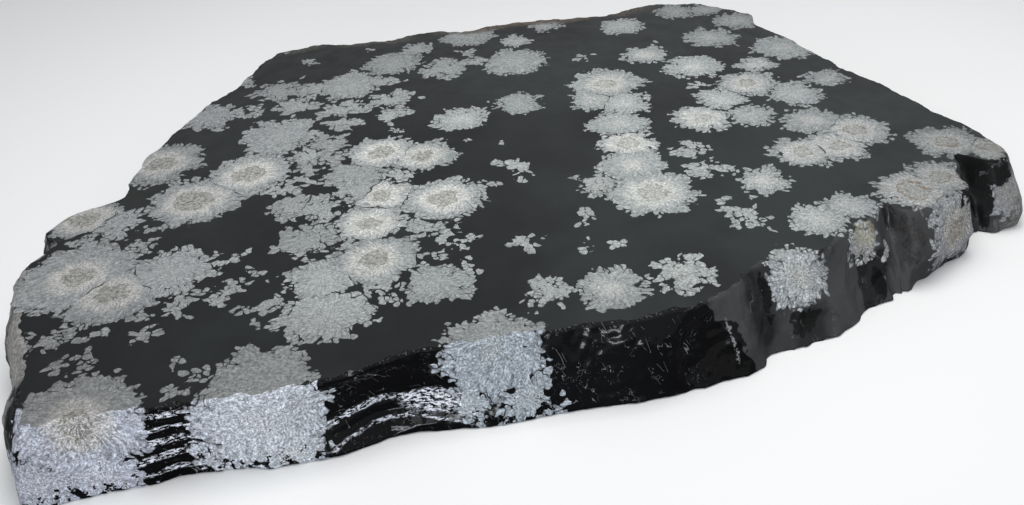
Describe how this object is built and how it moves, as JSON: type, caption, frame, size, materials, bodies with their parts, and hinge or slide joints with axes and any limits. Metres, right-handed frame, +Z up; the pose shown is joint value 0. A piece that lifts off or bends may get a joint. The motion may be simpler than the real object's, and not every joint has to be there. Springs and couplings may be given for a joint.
{
  "type": "snowflake obsidian slab",
  "caption": "Flat sawn slice of snowflake obsidian with a broken, chipped natural rim, lying level.",
  "frame": {"origin": "middle of the bounding box, on the underside that the slab rests on", "axes": "+Z up out of the sawn top face; +X along the slab's long extent, to the right as seen from its long straight broken edge; +Y away from that edge"},
  "size_m": [0.1306, 0.1098, 0.0095],
  "materials": {
    "obsidian": "satin"
  },
  "bodies": {
    "root": {"obsidian_slab": "obsidian"}
  },
  "joints": []
}
